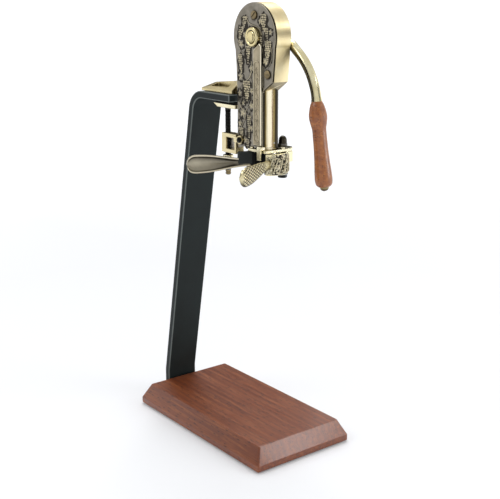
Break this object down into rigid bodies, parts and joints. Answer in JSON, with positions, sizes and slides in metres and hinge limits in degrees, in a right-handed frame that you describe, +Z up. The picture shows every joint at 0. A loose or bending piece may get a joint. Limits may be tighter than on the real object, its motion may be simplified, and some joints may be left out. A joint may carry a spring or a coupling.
{
  "type": "lever wine opener on stand",
  "caption": "Lever-driven corkscrew in a brass head, clamped to the arm of a black strap stand on a bevelled wooden board.",
  "frame": {"origin": "the point on the floor under the middle of the board, on the underside of the felt", "axes": "+X towards the lever side, -Y towards the decorated front and the jaw handles, +Z up"},
  "size_m": [0.3245, 0.1838, 0.6095],
  "materials": {
    "mahogany": "oiled satin",
    "cherry": "turned and lacquered",
    "black_paint": "satin",
    "antique_bronze": "antiqued relief",
    "brass": "polished antique",
    "steel": "ground",
    "black_steel": "blackened",
    "rubber": "matt",
    "felt": "felt"
  },
  "bodies": {
    "stand": {"base_board": "mahogany", "base_felt": "felt", "strap_stand": "black_paint", "strap_screw_1": "black_steel", "strap_screw_2": "black_steel", "front_cover": "antique_bronze", "rear_housing": "brass", "face_bar": "antique_bronze", "cover_screw_1": "antique_bronze", "cover_screw_2": "antique_bronze", "front_bushing": "brass", "rear_bushing": "brass", "shaft_boss": "brass", "idler_pin": "steel", "barrel": "brass", "guide_nut": "brass", "guide_pin": "steel", "jaw_plate": "brass", "plate_screw_1": "brass", "plate_screw_2": "brass", "neck_tab": "brass", "pivot_bolt": "black_steel", "acorn_nut": "black_steel", "pivot_washer": "steel", "jaw_spring": "steel", "clamp_upper_jaw": "brass", "clamp_jaw_screw_1": "steel", "clamp_jaw_screw_2": "steel", "clamp_bracket": "brass", "bracket_screw": "black_steel"},
    "lever": {"main_shaft": "steel", "shaft_cap": "brass", "lever_arm": "brass", "lever_pin": "steel", "wood_grip": "cherry", "grip_end_cap": "brass", "sector_gear": "steel", "sector_pin": "steel"},
    "idler": {"idler_gear": "steel"},
    "carriage": {"rack": "steel", "worm_carrier": "steel", "thrust_washer": "steel"},
    "worm": {"worm": "steel"},
    "left_jaw": {"left_jaw": "antique_bronze", "left_liner": "rubber"},
    "right_jaw": {"right_jaw": "brass", "right_liner": "rubber"},
    "clamp_pad": {"clamp_pad": "brass", "clamp_cushion": "rubber"},
    "clamp_screw": {"clamp_rod": "black_steel", "rod_collar": "brass", "tommy_bar": "black_steel", "rod_end_cap": "brass"}
  },
  "joints": [
    {"name": "lever_swing", "type": "hinge", "parent": "stand", "child": "lever", "pos_m": [0.063, -0.011, 0.566], "axis": [0, -1, 0], "range_deg": [0, 150]},
    {"name": "idler_spin", "type": "hinge", "parent": "stand", "child": "idler", "pos_m": [0.055, -0.011, 0.53013], "axis": [0, -1, 0], "range_deg": [-186, 2]},
    {"name": "carriage_slide", "type": "slide", "parent": "stand", "child": "carriage", "axis": [0, 0, -1], "range_m": [-0.0005, 0.05351]},
    {"name": "worm_spin", "type": "hinge", "parent": "carriage", "child": "worm", "pos_m": [0.071, -0.007, 0.5], "axis": [0, 0, -1], "range_deg": [-5, 2020]},
    {"name": "left_jaw_swing", "type": "hinge", "parent": "stand", "child": "left_jaw", "pos_m": [0.072, 0.018, 0.403], "axis": [0, 0, 1], "range_deg": [0, 6], "stiffness_Nm_per_rad": 1, "springref_deg": -8.59},
    {"name": "right_jaw_swing", "type": "hinge", "parent": "stand", "child": "right_jaw", "pos_m": [0.072, 0.018, 0.403], "axis": [0, 0, -1], "range_deg": [0, 6], "stiffness_Nm_per_rad": 1, "springref_deg": -8.59},
    {"name": "clamp_screw_turn", "type": "hinge", "parent": "clamp_pad", "child": "clamp_screw", "pos_m": [0.0005, -0.02, 0.42], "axis": [0, 0, -1], "range_deg": [-5, 6125]},
    {"name": "clamp_travel", "type": "slide", "parent": "stand", "child": "clamp_pad", "axis": [0, 0, -1], "range_m": [0, 0.034]}
  ],
  "couplings": [
    {"joint": "idler_spin", "follows": "lever_swing", "ratio": -1.2273},
    {"joint": "carriage_slide", "follows": "lever_swing", "m_per_rad": 0.02025},
    {"joint": "worm_spin", "follows": "lever_swing", "ratio": 13.393},
    {"joint": "clamp_screw_turn", "follows": "clamp_travel", "rad_per_m": 3141.6}
  ]
}
